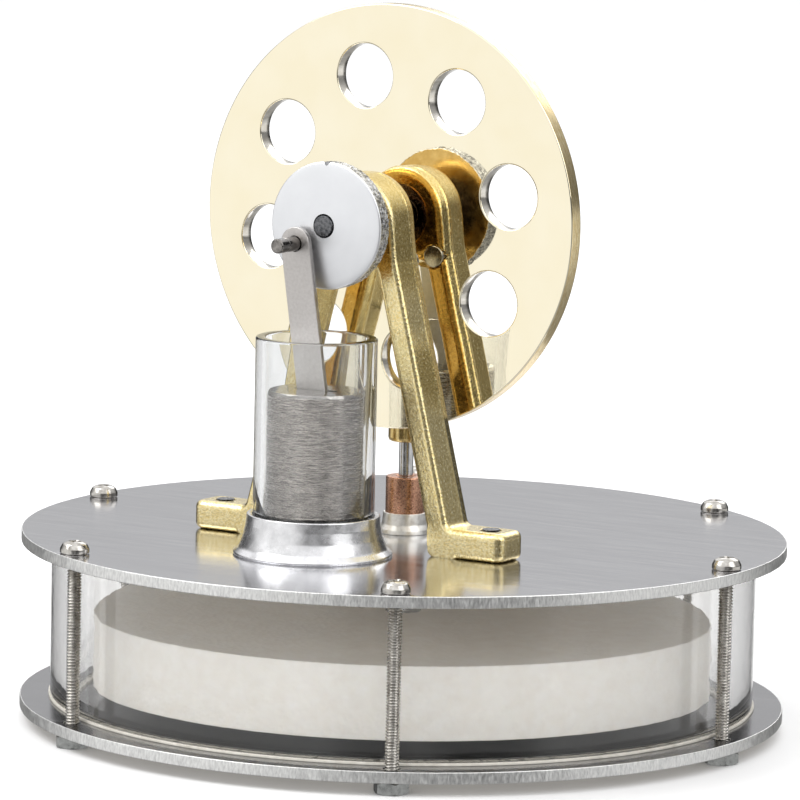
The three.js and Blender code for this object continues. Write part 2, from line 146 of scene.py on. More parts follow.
def ringed_metal(name, dark, light, rough, centre, axis, pitch_mm, depth_mm, mottle):
    """Turned metal: fine rings about an axis through centre, on faces square to it."""
    mat, tree, shader = node_material(name)
    coords = tree.nodes.new("ShaderNodeTexCoord")
    shift = tree.nodes.new("ShaderNodeVectorMath")
    shift.operation = "SUBTRACT"
    shift.inputs[1].default_value = [c * MM for c in centre]
    link(tree, coords.outputs["Object"], shift.inputs[0])
    flatten = tree.nodes.new("ShaderNodeVectorMath")
    flatten.operation = "MULTIPLY"
    flatten.inputs[1].default_value = [0.0 if a == axis else 1.0 / MM for a in range(3)]
    link(tree, shift.outputs["Vector"], flatten.inputs[0])
    length = tree.nodes.new("ShaderNodeVectorMath")
    length.operation = "LENGTH"
    link(tree, flatten.outputs["Vector"], length.inputs[0])
    combine = tree.nodes.new("ShaderNodeCombineXYZ")
    link(tree, length.outputs["Value"], combine.inputs["X"])
    value = noise_value(tree, combine.outputs["Vector"], 1.0 / pitch_mm, 3.0)
    spots = noise_value(tree, coordinates(tree), mottle, 4.0)
    link(tree, two_tone(tree, spots, dark, light), shader.inputs["Base Color"])
    link(tree, remap(tree, value, rough[0], rough[1]), shader.inputs["Roughness"])
    shader.inputs["Metallic"].default_value = 1.0
    bump(tree, shader, value, depth_mm)
    return mat


HAZE_TINT = (0.02, 0.01, 0.0, 1)


def clear(name, tint, ior, rough, haze, waves_mm=0.0):
    """Clear glass or plastic; light from lamps and soft light reach what stands behind it.

    The haze is what the body absorbs over a metre, so edges seen through more of it are greyer.
    """
    mat, tree, shader = node_material(name)
    output = tree.nodes["Material Output"]
    path = tree.nodes.new("ShaderNodeLightPath")
    soft = tree.nodes.new("ShaderNodeMath")
    soft.operation = "MAXIMUM"
    link(tree, path.outputs["Is Shadow Ray"], soft.inputs[0])
    link(tree, path.outputs["Is Diffuse Ray"], soft.inputs[1])
    through = tree.nodes.new("ShaderNodeBsdfTransparent")
    through.inputs["Color"].default_value = (*tint, 1)
    mix = tree.nodes.new("ShaderNodeMixShader")
    link(tree, soft.outputs["Value"], mix.inputs["Fac"])
    link(tree, shader.outputs["BSDF"], mix.inputs[1])
    link(tree, through.outputs["BSDF"], mix.inputs[2])
    link(tree, mix.outputs["Shader"], output.inputs["Surface"])
    shader.inputs["Transmission Weight"].default_value = 1.0
    shader.inputs["IOR"].default_value = ior
    value = noise_value(tree, coordinates(tree), 0.35, 2.0)
    link(tree, two_tone(tree, value, [0.985 * c for c in tint], tint), shader.inputs["Base Color"])
    link(tree, remap(tree, value, rough[0], rough[1]), shader.inputs["Roughness"])
    if waves_mm:
        bump(tree, shader, value, waves_mm)
    body = tree.nodes.new("ShaderNodeVolumeAbsorption")
    body.inputs["Color"].default_value = HAZE_TINT
    body.inputs["Density"].default_value = haze
    link(tree, body.outputs["Volume"], output.inputs["Volume"])
    return mat


stud_steel = metal(
    "stud_steel",
    dark=(0.10, 0.095, 0.09), light=(0.34, 0.32, 0.30), rough=(0.10, 0.24),
    grain=(1, 0.4, 1), grain_scale=1.6, bump_mm=0.003,
)
piston_top = metal(
    "piston_top",
    dark=(0.42, 0.40, 0.38), light=(0.58, 0.56, 0.54), rough=(0.08, 0.16),
    grain_scale=1.2,
)
# brass darkened far below its own colour: painted shade for the hub in the narrow gap between the
# bracket and the flywheel
hub_brass_painted_shade = metal(
    "hub_brass_painted_shade",
    dark=(0.16, 0.08, 0.05), light=(0.34, 0.20, 0.12), rough=(0.2, 0.34),
    grain_scale=1.2, bump_mm=0.006,
)
plate_metal = metal(
    "plate_metal",
    dark=(0.47, 0.47, 0.49), light=(0.57, 0.57, 0.59), rough=(0.10, 0.20),
    grain=(0.03, 1.0, 1.0), grain_scale=3.0, bump_mm=0.002,
)
base_metal = metal(
    "base_metal",
    dark=(0.24, 0.24, 0.25), light=(0.31, 0.31, 0.32), rough=(0.12, 0.22),
    grain=(0.03, 1.0, 1.0), grain_scale=3.0, bump_mm=0.002,
)
# a warm near-white copy of the plate metal for the undersides: painted bounce light that brightens the
# foam inside the chamber
underside_painted_bounce = metal(
    "underside_painted_bounce",
    dark=(0.90, 0.86, 0.80), light=(0.97, 0.94, 0.89), rough=(0.5, 0.65),
)
rim_metal = metal(
    "rim_metal",
    dark=(0.62, 0.62, 0.61), light=(0.96, 0.96, 0.94), rough=(0.28, 0.5),
    grain=(1.0, 1.0, 0.35), grain_scale=3.6, bump_mm=0.05,
)
screw_steel = metal(
    "screw_steel",
    dark=(0.36, 0.34, 0.31), light=(0.64, 0.62, 0.58), rough=(0.10, 0.26),
    grain_scale=1.2,
)
nut_steel = metal(
    "nut_steel",
    dark=(0.18, 0.185, 0.18), light=(0.42, 0.43, 0.42), rough=(0.22, 0.42),
    grain_scale=1.4, bump_mm=0.01,
)
pin_steel = metal(
    "pin_steel",
    dark=(0.42, 0.42, 0.42), light=(0.66, 0.66, 0.66), rough=(0.14, 0.28),
    grain=(1, 1, 0.4), grain_scale=1.6, bump_mm=0.003,
)
dark_steel = metal(
    "dark_steel",
    dark=(0.05, 0.055, 0.06), light=(0.24, 0.24, 0.25), rough=(0.16, 0.36),
    grain_scale=2.6, bump_mm=0.03,
)
rod_steel = metal(
    "rod_steel",
    dark=(0.51, 0.485, 0.465), light=(0.61, 0.585, 0.565), rough=(0.34, 0.46),
    grain_scale=2.5, bump_mm=0.006,
)
seat_metal = metal(
    "seat_metal",
    dark=(0.66, 0.66, 0.67), light=(0.90, 0.90, 0.91), rough=(0.16, 0.34),
    grain_scale=0.5, bump_mm=0.02,
)
collet_metal = metal(
    "collet_metal",
    dark=(0.70, 0.68, 0.63), light=(0.95, 0.94, 0.90), rough=(0.3, 0.5),
    grain_scale=1.6, bump_mm=0.02,
)
piston_metal = metal(
    "piston_metal",
    dark=(0.11, 0.10, 0.09), light=(0.54, 0.50, 0.465), rough=(0.16, 0.32),
    grain=(0.22, 0.22, 2.4), grain_scale=4.0, bump_mm=0.03, detail=6.0,
)
link_brass = metal(
    "link_brass",
    dark=(0.50, 0.34, 0.11), light=(0.82, 0.64, 0.30), rough=(0.16, 0.30),
    grain=(1, 1, 0.3), grain_scale=2.0,
)
bushing_bronze = metal(
    "bushing_bronze",
    dark=(0.34, 0.16, 0.10), light=(0.72, 0.42, 0.28), rough=(0.20, 0.36),
    grain_scale=4.5, bump_mm=0.03,
)
# steel darkened to brownish near-black: painted shade for the bearings set deep in the bracket's bore
bearing_steel = metal(
    "bearing_steel",
    dark=(0.07, 0.05, 0.045), light=(0.22, 0.17, 0.15), rough=(0.15, 0.3),
    grain_scale=1.5,
)
casting_brass = metal(
    "casting_brass",
    dark=(0.73, 0.56, 0.22), light=(0.95, 0.84, 0.51), rough=(0.12, 0.28),
    grain_scale=3.2, bump_mm=0.045, detail=6.0,
)
# the same cast brass made darker and more amber for the back faces: painted shade and painted warm
# bounce light from the flywheel
casting_painted_back_shade = metal(
    "casting_painted_back_shade",
    dark=(0.52, 0.31, 0.07), light=(0.72, 0.46, 0.13), rough=(0.12, 0.28),
    grain_scale=2.4, bump_mm=0.03, detail=5.0,
)
wheel_brass = metal(
    "wheel_brass",
    dark=(0.925, 0.845, 0.63), light=(0.945, 0.875, 0.68), rough=(0.015, 0.04),
    grain_scale=0.15, bump_mm=0.002, detail=2.0,
)
wheel_rim = metal(
    "wheel_rim",
    dark=(0.60, 0.44, 0.18), light=(0.92, 0.80, 0.52), rough=(0.14, 0.26),
    grain=(1.0, 8.0, 1.0), bump_mm=0.01,
)
wheel_bore = metal(
    "wheel_bore",
    dark=(0.66, 0.62, 0.54), light=(0.94, 0.91, 0.84), rough=(0.08, 0.2),
    grain=(1.0, 0.2, 1.0), grain_scale=1.6, bump_mm=0.01,
)
# gold brass colour for the back of the aluminium crank disc: painted reflection and warm bounce light
# from the brass flywheel behind it
disc_back_painted_reflection = metal(
    "disc_back_painted_reflection",
    dark=(0.66, 0.48, 0.22), light=(0.88, 0.70, 0.40), rough=(0.14, 0.26),
    grain_scale=0.8, bump_mm=0.01,
)
disc_rim = metal(
    "disc_rim",
    dark=(0.10, 0.10, 0.11), light=(0.92, 0.93, 0.95), rough=(0.16, 0.38),
    grain=(1, 0.7, 1), grain_scale=2.2, bump_mm=0.12, detail=6.0,
)
disc_face = ringed_metal(
    "disc_face",
    dark=(0.82, 0.83, 0.85), light=(0.86, 0.87, 0.89), rough=(0.34, 0.42),
    centre=(0, 0, shaft_z), axis=1, pitch_mm=0.35, depth_mm=0.003, mottle=0.3,
)
ring_plastic = clear(
    "ring_plastic", tint=(0.99, 0.99, 0.985), ior=1.49, rough=(0.01, 0.03), haze=52, waves_mm=0.01,
)
cylinder_glass = clear(
    "cylinder_glass", tint=(0.98, 0.99, 0.99), ior=1.5, rough=(0.0, 0.01), haze=130,
)


def foam_material():
    """Fine-celled cream foam, a little translucent."""
    mat, tree, shader = node_material("foam")
    vector = coordinates(tree)
    cells = tree.nodes.new("ShaderNodeTexVoronoi")
    cells.inputs["Scale"].default_value = 1.3
    link(tree, vector, cells.inputs["Vector"])
    value = noise_value(tree, vector, 0.5, 5.0, 0.7)
    colour = two_tone(tree, value, (0.90, 0.86, 0.80), (0.97, 0.95, 0.91))
    link(tree, colour, shader.inputs["Base Color"])
    shader.inputs["Roughness"].default_value = 0.85
    shader.inputs["Subsurface Weight"].default_value = 0.15
    shader.inputs["Subsurface Radius"].default_value = (0.0015, 0.0013, 0.001)
    bump(tree, shader, cells.outputs["Distance"], 0.12, 0.6)
    return mat


def gasket_material():
    mat, tree, shader = node_material("gasket")
    value = noise_value(tree, coordinates(tree), 0.8, 3.0)
    colour = two_tone(tree, value, (0.60, 0.57, 0.50), (0.76, 0.73, 0.66))
    link(tree, colour, shader.inputs["Base Color"])
    shader.inputs["Roughness"].default_value = 0.5
    bump(tree, shader, value, 0.03)
    return mat


foam = foam_material()
gasket = gasket_material()


# ---- mesh helpers (millimetres)
def make_object(name, verts, faces, materials, angle=SMOOTH_BELOW):
    """A mesh object from vertices in millimetres, normals outward, smooth below the angle."""
    mesh = bpy.data.meshes.new(name)
    mesh.from_pydata([tuple(c * MM for c in v) for v in verts], [], faces)
    for mat in materials:
        mesh.materials.append(mat)
    shell = bmesh.new()
    shell.from_mesh(mesh)
    bmesh.ops.remove_doubles(shell, verts=shell.verts, dist=1e-7)
    bmesh.ops.recalc_face_normals(shell, faces=shell.faces)
    shell.to_mesh(mesh)
    shell.free()
    mesh.shade_smooth()
    mesh.set_sharp_from_angle(angle=math.radians(angle))
    obj = bpy.data.objects.new(name, mesh)
    bpy.context.scene.collection.objects.link(obj)
    return obj


def flat_faces(obj):
    """Keeps broad flat faces flat-looking beside their small roundings."""
    mod = obj.modifiers.new("flat_faces", "WEIGHTED_NORMAL")
    mod.keep_sharp = True
    mod.weight = 100


FILLET_STEPS = 5


def rounded(points, closed=False):
    """Turns (r, h, fillet) corners into a finer (r, h) line."""
    line = []
    count = len(points)
    for i, point in enumerate(points):
        radius = point[2] if len(point) > 2 else 0.0
        here = Vector(point[:2])
        inner = closed or 0 < i < count - 1
        if not radius or not inner:
            line.append(tuple(here))
            continue
        before = Vector(points[i - 1][:2]) - here
        after = Vector(points[(i + 1) % count][:2]) - here
        half = before.angle(after) / 2
        reach = min(radius / math.tan(half), before.length * 0.49, after.length * 0.49)
        start, end = here + before.normalized() * reach, here + after.normalized() * reach
        for k in range(FILLET_STEPS + 1):
            t = k / FILLET_STEPS
            line.append(tuple(start * (1 - t) ** 2 + here * 2 * t * (1 - t) + end * t * t))
    return line


def lathe(
    name, profile, material, centre=(0, 0), axis="Z", segments=96, closed=False, wobble=None,
    angle=SMOOTH_BELOW,
):
    """A turned piece. centre is (x, y) for axis Z and (x, z) for axis Y; heights are absolute."""
    line = rounded(profile, closed)
    rows = []
    verts = []
    for r, h in line:
        if r < 1e-6:
            rows.append([len(verts)] * segments)
            verts.append((0.0, 0.0, h))
            continue
        row = []
        for k in range(segments):
            a = 2 * math.pi * k / segments
            rr = r + (wobble(r, a, h) if wobble else 0.0)
            row.append(len(verts))
            verts.append((rr * math.cos(a), rr * math.sin(a), h))
        rows.append(row)
    faces = []
    pairs = list(zip(rows, rows[1:]))
    if closed:
        pairs.append((rows[-1], rows[0]))
    for low, high in pairs:
        for k in range(segments):
            n = (k + 1) % segments
            loop = [low[k], low[n], high[n], high[k]]
            loop = [v for i, v in enumerate(loop) if v not in loop[:i]]
            if len(loop) > 2:
                faces.append(loop)
    if axis == "Z":
        verts = [(x + centre[0], y + centre[1], z) for x, y, z in verts]
    else:
        verts = [(x + centre[0], z, -y + centre[1]) for x, y, z in verts]
    return make_object(name, verts, faces, [material], angle)


def bar(radius, low, high, fillet=0.0):
    """Profile of a plain round bar or of the cutter for a plain hole."""
    return [(0, low), (radius, low, fillet), (radius, high, fillet), (0, high)]


def tube(inner, outer, low, high, fillets):
    """Profile of a sleeve, with a fillet for each corner from the inner foot to the inner top."""
    corners = ((inner, low), (outer, low), (outer, high), (inner, high))
    return [(*corner, fillet) for corner, fillet in zip(corners, fillets)]


def circle(x, y, radius, count):
    return [
        (x + radius * math.cos(2 * math.pi * k / count), y + radius * math.sin(2 * math.pi * k / count))
        for k in range(count)
    ]


CORNER_ANGLE = 1.2
LEVEL_GAP = 1e-4


def pierced(name, outer, holes, low, high, material, plane="XY", edge=0.0):
    """A flat piece with holes through it, between two levels, with its edges eased."""
    shell = bmesh.new()
    for loop in [outer, *holes]:
        ring = [shell.verts.new((u, v, 0)) for u, v in loop]
        for a, b in zip(ring, ring[1:] + ring[:1]):
            shell.edges.new((a, b))
    bmesh.ops.triangle_fill(shell, edges=shell.edges, use_beauty=True)
    bmesh.ops.dissolve_limit(
        shell, angle_limit=0.01, verts=shell.verts, edges=shell.edges, use_dissolve_boundaries=False
    )
    top = bmesh.ops.extrude_face_region(shell, geom=shell.faces[:])
    for item in top["geom"]:
        if isinstance(item, bmesh.types.BMVert):
            item.co.z = high - low
    bmesh.ops.recalc_face_normals(shell, faces=shell.faces)
    if edge:
        crisp = [
            e for e in shell.edges
            if len(e.link_faces) == 2
            and e.calc_face_angle(0) > CORNER_ANGLE
            and abs(e.verts[0].co.z - e.verts[1].co.z) < LEVEL_GAP
        ]
        bmesh.ops.bevel(shell, geom=crisp, offset=edge, segments=3, affect="EDGES", profile=0.5)
    bmesh.ops.triangulate(shell, faces=[f for f in shell.faces if len(f.verts) > 4])
    for v in shell.verts:
        x, y, z = v.co
        v.co = (x, y, z + low) if plane == "XY" else (x, z + low, y)
    verts = [tuple(v.co) for v in shell.verts]
    shell.verts.index_update()
    faces = [[v.index for v in f.verts] for f in shell.faces]
    shell.free()
    return make_object(name, verts, faces, [material])


def carve(obj, cutter, operation="DIFFERENCE"):
    """Applies a boolean and removes the cutter."""
    mod = obj.modifiers.new("carve", "BOOLEAN")
    mod.operation = operation
    mod.solver = "EXACT"
    mod.object = cutter
    bpy.context.view_layer.update()
    done = bpy.data.meshes.new_from_object(obj.evaluated_get(bpy.context.evaluated_depsgraph_get()))
    obj.modifiers.clear()
    obj.data = done
    obj.data.set_sharp_from_angle(angle=math.radians(SMOOTH_BELOW))
    bpy.data.objects.remove(cutter)
    return obj


def slot_cutter(half_x, y, half_y, low, high, material):
    """A box for cutting a slot along X at a y, between two heights."""
    corners = [
        (x, v, z)
        for x in (-half_x, half_x)
        for v in (y - half_y, y + half_y)
        for z in (low, high)
    ]
    faces = [(0, 1, 3, 2), (4, 6, 7, 5), (0, 4, 5, 1), (2, 3, 7, 6), (0, 2, 6, 4), (1, 5, 7, 3)]
    return make_object("cutter", corners, faces, [material])


def finishes(obj, *materials):
    """Gives a piece a new list of finishes."""
    obj.data.materials.clear()
    for material in materials:
        obj.data.materials.append(material)


def mount(obj, body, slot, *nodes):
    """Hands a finished piece to its body, in place of its CAD nodes."""
    flat_faces(obj)
    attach(obj, body)
    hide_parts(*nodes)
    return obj


# ---- chamber
plate_r = span("top_plate")[1].x
screw_spots = [span(f"plate_screw_{i}")[2] for i in range(1, 7)]
foot_spots = [span(f"foot_screw_{side}")[2] for side in ("left", "right")]
BOLT_HOLE_R = 1.1
STEM_HOLE_R = 1.4
PORT_R = 3.0
FOOT_HOLE_R = 1.35
RIM_GRAIN = 40
RIM_RAGGED = 0.05
RIM_INSET = 0.06
RIM_ZONE = 0.25
PLATE_EDGE = 0.12


def saw_rim(count, radius, seed):
    """A round outline with the slight raggedness of a sawn edge."""
    points = []
    for k in range(count):
        a = 2 * math.pi * k / count
        place = Vector((RIM_GRAIN * math.cos(a), RIM_GRAIN * math.sin(a), seed))
        r = radius - RIM_INSET + noise.noise(place) * RIM_RAGGED
        points.append((r * math.cos(a), r * math.sin(a)))
    return points


def plate(name, holes, seed, finish):
    """A round plate with its own finish on top, a sawn rim and an underside painted warm near-white as
    painted bounce light for the chamber.
    """
    low, high, _ = span(name)
    outline = saw_rim(720, plate_r, seed)
    obj = pierced(name + "_plate", outline, holes, low.z, high.z, finish, edge=PLATE_EDGE)
    finishes(obj, finish, rim_metal, underside_painted_bounce)
    # faces turned down take the near-white metal as painted bounce light
    for face in obj.data.polygons:
        if math.hypot(face.center.x, face.center.y) > (plate_r - RIM_ZONE) * MM:
            face.material_index = 1
        elif face.normal.z < -0.9:
            face.material_index = 2
    return mount(obj, "base", "plate_aluminium", name)


bolt_holes = [circle(s.x, s.y, BOLT_HOLE_R, 24) for s in screw_spots]
plate("base_plate", bolt_holes, 3.0, base_metal)
deck_holes = bolt_holes + [circle(0, 0, STEM_HOLE_R, 24), circle(0, cylinder_y, PORT_R, 32)]
deck_holes += [circle(s.x, s.y, FOOT_HOLE_R, 32) for s in foot_spots]
plate("top_plate", deck_holes, 9.0, plate_metal)

GASKET_INSET = 0.1
GASKET_WIDTH = 3.7
GASKET_WAVE = 0.09


def cut_edge(r, a, h):
    """The slow waviness of an edge that was cut by hand."""
    return GASKET_WAVE * noise.noise(Vector((9 * math.cos(a), 9 * math.sin(a), h)))


for name in ("lower_gasket", "upper_gasket"):
    low, high, _ = span(name)
    inner, outer = high.x - GASKET_WIDTH, high.x - GASKET_INSET
    profile = tube(inner, outer, low.z, high.z, (0, 0.1, 0.1, 0))
    rubber = lathe(name + "_sheet", profile, gasket, segments=240, closed=True, wobble=cut_edge)
    mount(rubber, "base", "gasket", name)

RING_WALL = 3.0
low, high, _ = span("chamber_ring")
profile = tube(high.x - RING_WALL, high.x, low.z, high.z, (0.2, 0.2, 0.2, 0.2))
ring = lathe("clear_ring", profile, ring_plastic, segments=360, closed=True)
mount(ring, "base", "ring_clear", "chamber_ring")


# ---- plate screws and nuts
PITCH = 0.4
THREAD_DEPTH = 0.2
THREAD_STEP = 0.05
THREAD_AROUND = 20
THREAD_CHAMFER = 0.25
SHANK_R = 0.95
HEAD_R = 1.88
NUT_FLATS = 4.0
NUT_BORE = 1.0
NUT_CHAMFER_R = 0.42
NUT_CHAMFER_H = 0.28


def thread(name, x, y, low, high, radius, turn, material):
    """A threaded rod with a triangular thread and a short chamfer at its foot."""
    around = THREAD_AROUND
    rows = int((high - low) / THREAD_STEP)
    verts, faces = [], []
    for j in range(rows + 1):
        z = low + (high - low) * j / rows
        for k in range(around):
            a = 2 * math.pi * k / around
            phase = ((z - low) / PITCH - a / (2 * math.pi) + turn) % 1.0
            depth = THREAD_DEPTH * min(1.0, abs(phase - 0.5) * 2.4)
            taper = max(0.0, THREAD_CHAMFER - (z - low))
            r = radius - max(depth, taper)
            verts.append((x + r * math.cos(a), y + r * math.sin(a), z))
    for j in range(rows):
        for k in range(around):
            n = (k + 1) % around
            faces.append((j * around + k, j * around + n, (j + 1) * around + n, (j + 1) * around + k))
    faces.append(tuple(range(around))[::-1])
    faces.append(tuple(rows * around + k for k in range(around)))
    return make_object(name, verts, faces, [material], 60)


def driver_blade(x, y, top, angle):
    """One tapered blade of the driver's cross tip, as a cutter."""
    u = Vector((math.cos(angle), math.sin(angle)))
    v = Vector((-math.sin(angle), math.cos(angle)))
    verts = []
    for z, long, wide in ((top - 0.95, 0.35, 0.16), (top + 0.3, 1.12, 0.27)):
        for s, t in ((-1, -1), (1, -1), (1, 1), (-1, 1)):
            p = u * s * long + v * t * wide
            verts.append((x + p.x, y + p.y, z))
    faces = [(3, 2, 1, 0), (4, 5, 6, 7), (0, 1, 5, 4), (1, 2, 6, 5), (2, 3, 7, 6), (3, 0, 4, 7)]
    return make_object("cutter", verts, faces, [])


def pan_screw(index, spot):
    """A plate screw: a pan head with a cross recess, and a full thread below it."""
    low, high, _ = span(f"plate_screw_{index}")
    turn = chance.uniform(0, math.pi / 2)
    base = deck + 0.02
    top = high.z
    profile = [
        (0, base),
        (HEAD_R - 0.12, base),
        (HEAD_R, base + 0.14, 0.08),
        (HEAD_R, base + 0.62, 0.45),
        (HEAD_R * 0.82, top - 0.3, 0.5),
        (HEAD_R * 0.52, top - 0.03, 0.6),
        (0, top),
    ]
    centre = (spot.x, spot.y)
    head = lathe(f"screw_head_{index}", profile, screw_steel, centre, segments=64, angle=50)
    for quarter in range(2):
        carve(head, driver_blade(*centre, top, turn + quarter * math.pi / 2))
    mount(head, "base", "screw_steel", f"plate_screw_{index}")
    start = chance.random()
    shank = thread(f"screw_thread_{index}", *centre, low.z, base, SHANK_R, start, screw_steel)
    mount(shank, "base", "screw_steel", f"plate_screw_{index}")


def hex_nut(index):
    """A hexagon nut with both ends chamfered by a turned outline."""
    low, high, mid = span(f"plate_nut_{index}")
    turn = math.atan2(mid.y, mid.x) + chance.uniform(-0.25, 0.25)
    corner = NUT_FLATS / math.sqrt(3)
    outline = []
    for k in range(6):
        a = turn + k * math.pi / 3
        outline.append((mid.x + corner * math.cos(a), mid.y + corner * math.sin(a)))
    bore = circle(mid.x, mid.y, NUT_BORE, 32)
    nut = pierced(f"nut_{index}", outline, [bore], low.z, high.z, nut_steel)
    r = corner + 0.02
    profile = [
        (0, low.z - 0.02),
        (r - NUT_CHAMFER_R, low.z - 0.02),
        (r, low.z + NUT_CHAMFER_H, 0.2),
        (r, high.z - NUT_CHAMFER_H, 0.2),
        (r - NUT_CHAMFER_R, high.z + 0.02),
        (0, high.z + 0.02),
    ]
    carve(nut, lathe("cutter", profile, nut_steel, (mid.x, mid.y), segments=72), "INTERSECT")
    mount(nut, "base", "nut_steel", f"plate_nut_{index}")


for number, place in enumerate(screw_spots, 1):
    pan_screw(number, place)
    hex_nut(number)


# ---- displacer and its stem
STEM_R = 0.95
STEM_HOLE = 1.0
SIDE_ROWS = 24


def lumpy(r, a, h):
    """Broad and fine unevenness of cut foam, always inwards, away from the stem's hole."""
    if r <= 10:
        return 0.0
    p = Vector((r * math.cos(a), r * math.sin(a), h))
    return noise.noise(p * 0.45) * 0.10 + noise.noise(p * 1.7) * 0.05 - 0.15


low, high, _ = span("displacer_foam")
profile = [(STEM_HOLE, low.z + 0.05), (high.x, low.z + 0.05, 0.4)]
profile += [(high.x, low.z + (high.z - low.z) * k / SIDE_ROWS) for k in range(1, SIDE_ROWS)]
profile += [(high.x, high.z, 0.4), (30, high.z), (20, high.z), (STEM_HOLE, high.z)]
disc = lathe("foam_disc", profile, foam, segments=420, closed=True, wobble=lumpy)
mount(disc, "displacer", "foam", "displacer_foam")

low, high, _ = span("stem_collar")
COLLAR_R = 2.4
profile = tube(STEM_HOLE, COLLAR_R, low.z, high.z, (0, 0, 0.15, 0.1))
stem_ring = lathe("collar", profile, pin_steel, segments=64, closed=True)
mount(stem_ring, "displacer", "pin_steel", "stem_collar")

low, high, _ = span("displacer_stem")
stem = lathe("stem", bar(STEM_R, low.z, high.z, 0.1), pin_steel, segments=64)
mount(stem, "displacer", "pin_steel", "displacer_stem")

pin_low, pin_high, pin_mid = span("stem_pin")
link_low, link_high, _ = span("displacer_link")
low, high, _ = span("stem_head")
fork_r = high.x
profile = [
    (0, low.z),
    (fork_r - 0.5, low.z, 0.1),
    (fork_r - 0.12, low.z + 0.15, 0.2),
    (fork_r, low.z + 0.55, 0.2),
    (fork_r, high.z, 0.2),
    (0, high.z),
]
FORK_SLOT = 1.1
FORK_FLOOR = 0.8
PIN_R = 0.5
pin_spot = (pin_mid.x, pin_mid.z)
fork = lathe("fork_head", profile, link_brass, segments=96)
carve(fork, slot_cutter(5, 0, FORK_SLOT / 2, low.z + FORK_FLOOR, high.z + 3, link_brass))
carve(fork, lathe("cutter", bar(STEM_R + 0.02, low.z - 1, low.z + 1.2), link_brass))
carve(fork, lathe("cutter", bar(PIN_R + 0.04, -4, 4), link_brass, pin_spot, "Y", 32))
mount(fork, "displacer", "link_brass", "stem_head")
rivet = lathe("stem_rivet", bar(PIN_R, pin_low.y, pin_high.y, 0.1), pin_steel, pin_spot, "Y", 32)
mount(rivet, "displacer", "pin_steel", "stem_pin")

low, high, mid = span("stem_bushing")
SLEEVE_BORE = 1.1
sleeve_r = high.x - 0.01
profile = [
    (SLEEVE_BORE, low.z),
    (sleeve_r, low.z),
    (sleeve_r, high.z, 0.3),
    (SLEEVE_BORE + 0.25, high.z, 0.15),
    (SLEEVE_BORE, high.z - 0.3),
]
sleeve = lathe("bushing", profile, bushing_bronze, segments=96, closed=True)
mount(sleeve, "base", "bushing_bronze", "stem_bushing")


def glue_line(r, a, h):
    """The collet's upper part swells and shrinks a little, as a bead of glue does."""
    if h <= deck + 1.6:
        return 0.0
    return 0.05 * noise.noise(Vector((4 * math.cos(a), 4 * math.sin(a), 3 * h)))


low, high, _ = span("bushing_seat")
collet_bore = sleeve_r + 0.03
profile = [
    (collet_bore, low.z),
    (3.5, low.z, 0.1),
    (3.38, low.z + 0.55, 0.3),
    (3.0, low.z + 1.2, 0.5),
    (2.86, high.z, 0.14),
    (collet_bore, high.z),
]
collet = lathe("bushing_cone", profile, collet_metal, segments=96, closed=True, wobble=glue_line)
mount(collet, "base", "seat_aluminium", "bushing_seat")


# ---- strips: displacer link and connecting rod
END_STEPS = 24


def strip_outline(low, high, half):
    """A straight strip between two points, with round ends of radius half."""
    along = math.atan2(high[1] - low[1], high[0] - low[0])
    points = []
    for centre, start in ((high, along - math.pi / 2), (low, along + math.pi / 2)):
        for k in range(END_STEPS + 1):
            a = start + math.pi * k / END_STEPS
            points.append((centre[0] + half * math.cos(a), centre[1] + half * math.sin(a)))
    return points


def strip(name, ends, half, eyes, low_y, high_y, finish, edge):
    """A flat strip in an XZ plane with an eye at each end."""
    holes = [circle(*end, eye, 32) for end, eye in zip(ends, eyes)]
    return pierced(name, strip_outline(*ends, half), holes, low_y, high_y, finish, "XZ", edge)


LINK_HALF = 1.3
LIFT_R = 0.8
LIFT_SHOULDER_R = 1.3
lift_low, lift_high, lift_mid = span("lift_pin")
ends = (pin_spot, (lift_mid.x, lift_mid.z))
eyes = (PIN_R + 0.1, LIFT_R + 0.05)
blade = strip("link_strip", ends, LINK_HALF, eyes, link_low.y, link_high.y, link_brass, 0.12)
mount(blade, "displacer_link", "link_brass", "displacer_link")
profile = [
    (0, lift_low.y),
    (LIFT_R, lift_low.y, 0.1),
    (LIFT_R, link_high.y + 0.1),
    (LIFT_SHOULDER_R, link_high.y + 0.1),
    (LIFT_SHOULDER_R, lift_high.y, 0.25),
    (0, lift_high.y),
]
pin = lathe("lift_rivet", profile, pin_steel, (lift_mid.x, lift_mid.z), "Y", 48)
mount(pin, "displacer_link", "pin_steel", "lift_pin")

crank_low, crank_high, crank_mid = span("crank_pin")
wrist_low, wrist_high, wrist_mid = span("wrist_pin")
rod_low, rod_high, _ = span("connecting_rod")
ROD_HALF = 2.1
WRIST_R = 0.6
STUD_R = 0.94
STUD_GROOVE_R = 0.86
ends = ((wrist_mid.x, wrist_mid.z), (crank_mid.x, crank_mid.z))
eyes = (WRIST_R + 0.15, STUD_R + 0.06)
rod = strip("rod_strip", ends, ROD_HALF, eyes, rod_low.y, rod_high.y, rod_steel, 0.09)
mount(rod, "connecting_rod", "rod_steel", "connecting_rod")
profile = [
    (0, crank_low.y),
    (STUD_R - 0.12, crank_low.y, 0.08),
    (STUD_R, crank_low.y + 0.16, 0.05),
    (STUD_R, crank_low.y + 1.5),
    (STUD_GROOVE_R, crank_low.y + 1.56),
    (STUD_GROOVE_R, crank_low.y + 1.84),
    (STUD_R, crank_low.y + 1.9),
    (STUD_R, crank_high.y, 0.1),
    (0, crank_high.y),
]
pin = lathe("crank_stud", profile, stud_steel, (crank_mid.x, crank_mid.z), "Y", 48)
mount(pin, "connecting_rod", "pin_steel", "crank_pin")


